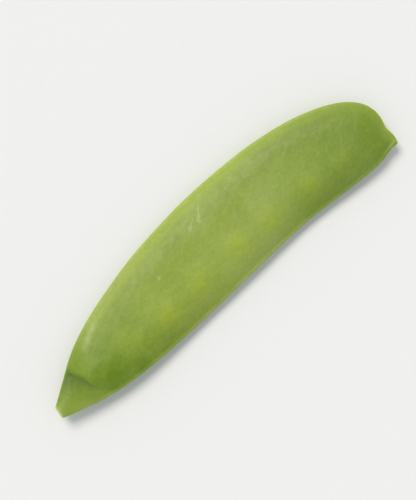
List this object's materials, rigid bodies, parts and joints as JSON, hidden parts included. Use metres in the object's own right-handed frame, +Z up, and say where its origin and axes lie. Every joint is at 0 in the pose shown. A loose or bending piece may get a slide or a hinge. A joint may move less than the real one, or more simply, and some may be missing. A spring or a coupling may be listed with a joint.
{
  "type": "snow pea pod",
  "caption": "Flat curved green pea pod lying on its side, with a trimmed stem end, faint bumps over small peas and a short blunt beak.",
  "frame": {"origin": "centre of the bounding rectangle seen from above, at the height of the surface the pod lies on", "axes": "+X along the pod from the stem cut to the beak, +Y across it from the seed seam to the curved back, +Z up through its thickness"},
  "size_m": [0.0846, 0.022, 0.005],
  "materials": {
    "pod": "satin, slightly translucent plant skin with a thin waxy bloom, yellower over the peas and paler along both seams and on the stem cut"
  },
  "bodies": {
    "root": {"snow_pea_pod": "pod"}
  },
  "joints": []
}
